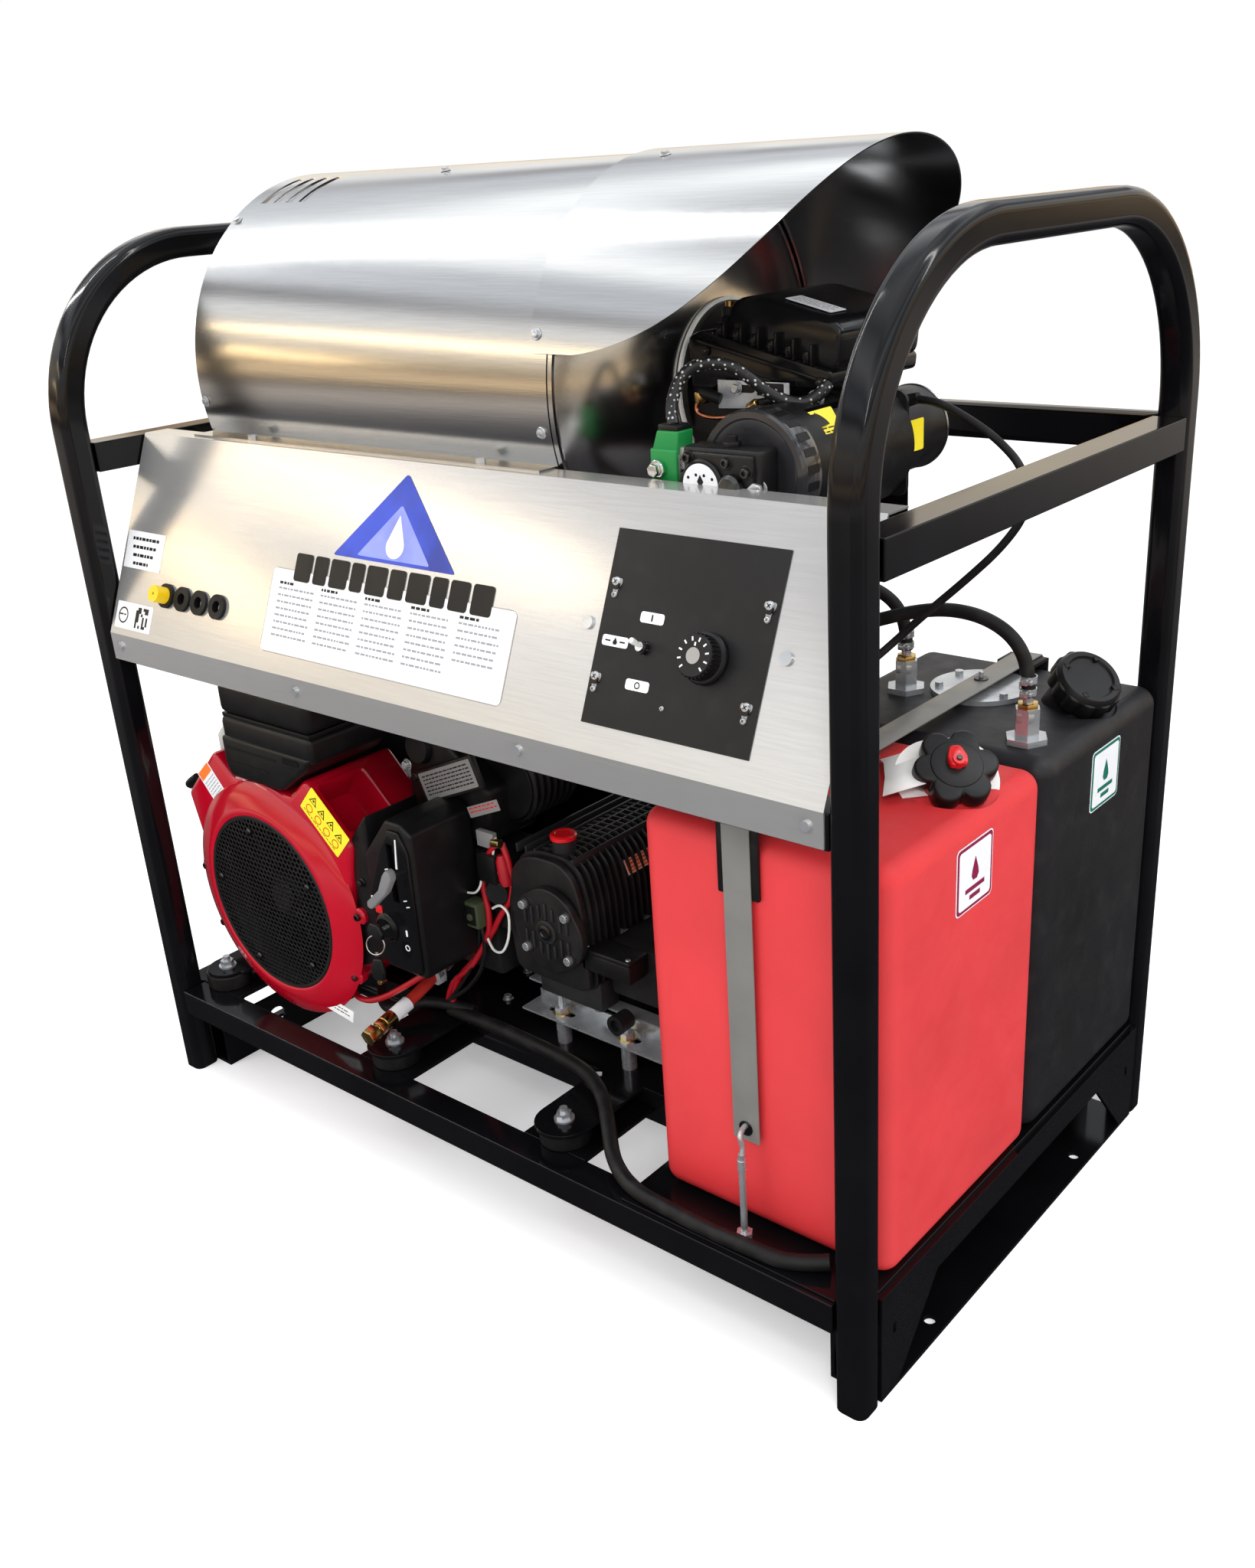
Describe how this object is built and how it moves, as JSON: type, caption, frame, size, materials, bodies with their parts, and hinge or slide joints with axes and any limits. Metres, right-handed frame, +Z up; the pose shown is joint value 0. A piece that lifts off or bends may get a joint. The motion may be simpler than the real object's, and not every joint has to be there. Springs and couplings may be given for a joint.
{
  "type": "pressure washer",
  "caption": "Hot-water pressure washer skid: tube frame, V-twin engine, belt-driven plunger pump, horizontal coil heater with burner, two fuel tanks and a sloping control panel.",
  "frame": {"origin": "on the floor under the middle of the skid", "axes": "+X along the skid from the engine end to the tank end, +Y from the operator panel to the back, +Z up"},
  "size_m": [1.2428, 0.7286, 1.2637],
  "materials": {
    "frame_black": "gloss powder coat",
    "stainless": "brushed",
    "zinc_steel": "bright zinc",
    "machined_steel": "machined",
    "engine_black": "satin",
    "engine_red": "gloss",
    "cast_aluminium": "cast",
    "brass": "machined",
    "black_plastic": "moulded",
    "rubber": "moulded",
    "red_hose": "fabric-braided",
    "red_tank": "rotomoulded",
    "black_tank": "rotomoulded",
    "yellow_plastic": "moulded",
    "red_plastic": "moulded",
    "chrome": "polished",
    "gasket": "fibre board"
  },
  "bodies": {
    "skid": {"air_cleaner": "black_plastic", "base_end_frames": "frame_black", "base_long_rails": "frame_black", "belt_guard": "frame_black", "burner_cable": "rubber", "burner_fuel_pump": "engine_black", "burner_gasket": "gasket", "burner_housing": "engine_black", "burner_motor": "engine_black", "control_box": "black_plastic", "control_panel": "stainless", "drive_belts": "rubber", "drive_tray": "frame_black", "end_hoop_left": "frame_black", "end_hoop_right": "frame_black", "engine_crankcase": "engine_black", "engine_cylinders": "engine_black", "fan_shroud": "engine_red", "frame_bolts": "zinc_steel", "front_tank": "red_tank", "heater_coil": "machined_steel", "heater_drum": "stainless", "heater_hood": "stainless", "heater_shelf": "frame_black", "heater_wrap": "stainless", "igniter_box": "black_plastic", "isolator_pucks": "rubber", "mid_rails": "frame_black", "muffler": "engine_black", "nozzle_grommets": "rubber", "oil_drain_hose": "red_hose", "panel_screws": "zinc_steel", "pump_bearing_cover": "engine_black", "pump_crankcase": "engine_black", "pump_head": "cast_aluminium", "pump_plungers": "zinc_steel", "pump_rails": "zinc_steel", "rear_tank": "black_tank", "shroud_grille": "engine_black", "switch_plate": "black_plastic", "tank_fittings": "zinc_steel", "tank_hose_left": "rubber", "tank_hose_right": "rubber", "tank_strap": "stainless", "tank_tray": "frame_black", "unloader_valve": "brass", "wiring_loom": "rubber"},
    "engine_shaft": {"engine_crankshaft": "machined_steel", "engine_flywheel": "engine_black"},
    "pump_shaft": {"pump_crankshaft": "machined_steel"},
    "blower": {"burner_fan": "cast_aluminium"},
    "choke": {"choke_lever": "black_plastic"},
    "key": {"ignition_key": "zinc_steel"},
    "toggle": {"toggle_switch": "chrome"},
    "thermostat": {"thermostat_knob": "black_plastic"},
    "parked_nozzle": {"spray_nozzle": "yellow_plastic"},
    "front_cap": {"front_tank_cap": "black_plastic"},
    "rear_cap": {"rear_tank_cap": "black_plastic"},
    "oil_cap": {"pump_oil_cap": "red_plastic"},
    "unloader": {"unloader_knob": "black_plastic"}
  },
  "joints": [
    {"name": "crank_spin", "type": "hinge", "parent": "skid", "child": "engine_shaft", "pos_m": [-0.382, 0, 0.327], "axis": [0, 1, 0], "continuous": true},
    {"name": "pump_spin", "type": "hinge", "parent": "skid", "child": "pump_shaft", "pos_m": [0.061, 0, 0.367], "axis": [0, 1, 0], "continuous": true},
    {"name": "blower_spin", "type": "hinge", "parent": "skid", "child": "blower", "pos_m": [0.376, 0, 0.958], "axis": [0, 1, 0], "continuous": true},
    {"name": "choke_swing", "type": "hinge", "parent": "skid", "child": "choke", "pos_m": [-0.122, -0.27, 0.43], "axis": [1, 0, 0], "range_deg": [-28, 28]},
    {"name": "key_turn", "type": "hinge", "parent": "skid", "child": "key", "pos_m": [-0.148, -0.31, 0.35], "axis": [0, -1, 0], "range_deg": [0, 80]},
    {"name": "toggle_tip", "type": "hinge", "parent": "skid", "child": "toggle", "pos_m": [0.338, -0.31671, 0.81034], "axis": [1, 0, 0], "range_deg": [0, 24]},
    {"name": "thermostat_turn", "type": "hinge", "parent": "skid", "child": "thermostat", "pos_m": [0.417, -0.32364, 0.81446], "axis": [0, -0.9163, 0.4005], "range_deg": [0, 270]},
    {"name": "nozzle_pull", "type": "slide", "parent": "skid", "child": "parked_nozzle", "axis": [0, -0.9163, 0.4005], "range_m": [0, 0.08]},
    {"name": "front_cap_unscrew", "type": "hinge", "parent": "skid", "child": "front_cap", "pos_m": [0.563, -0.094, 0.646], "axis": [0.4493, -0.4194, 0.7888], "range_deg": [0, 360]},
    {"name": "rear_cap_unscrew", "type": "hinge", "parent": "skid", "child": "rear_cap", "pos_m": [0.566, 0.205, 0.65], "axis": [0.5599, -0.25, 0.7899], "range_deg": [0, 360]},
    {"name": "oil_cap_lift", "type": "slide", "parent": "skid", "child": "oil_cap", "axis": [0, 0, 1], "range_m": [0, 0.06]},
    {"name": "unloader_turn", "type": "hinge", "parent": "skid", "child": "unloader", "pos_m": [0.17, 0.024, 0.418], "axis": [0, 0, 1], "range_deg": [0, 360]}
  ],
  "couplings": [
    {"joint": "pump_spin", "follows": "crank_spin", "ratio": 0.4324}
  ]
}
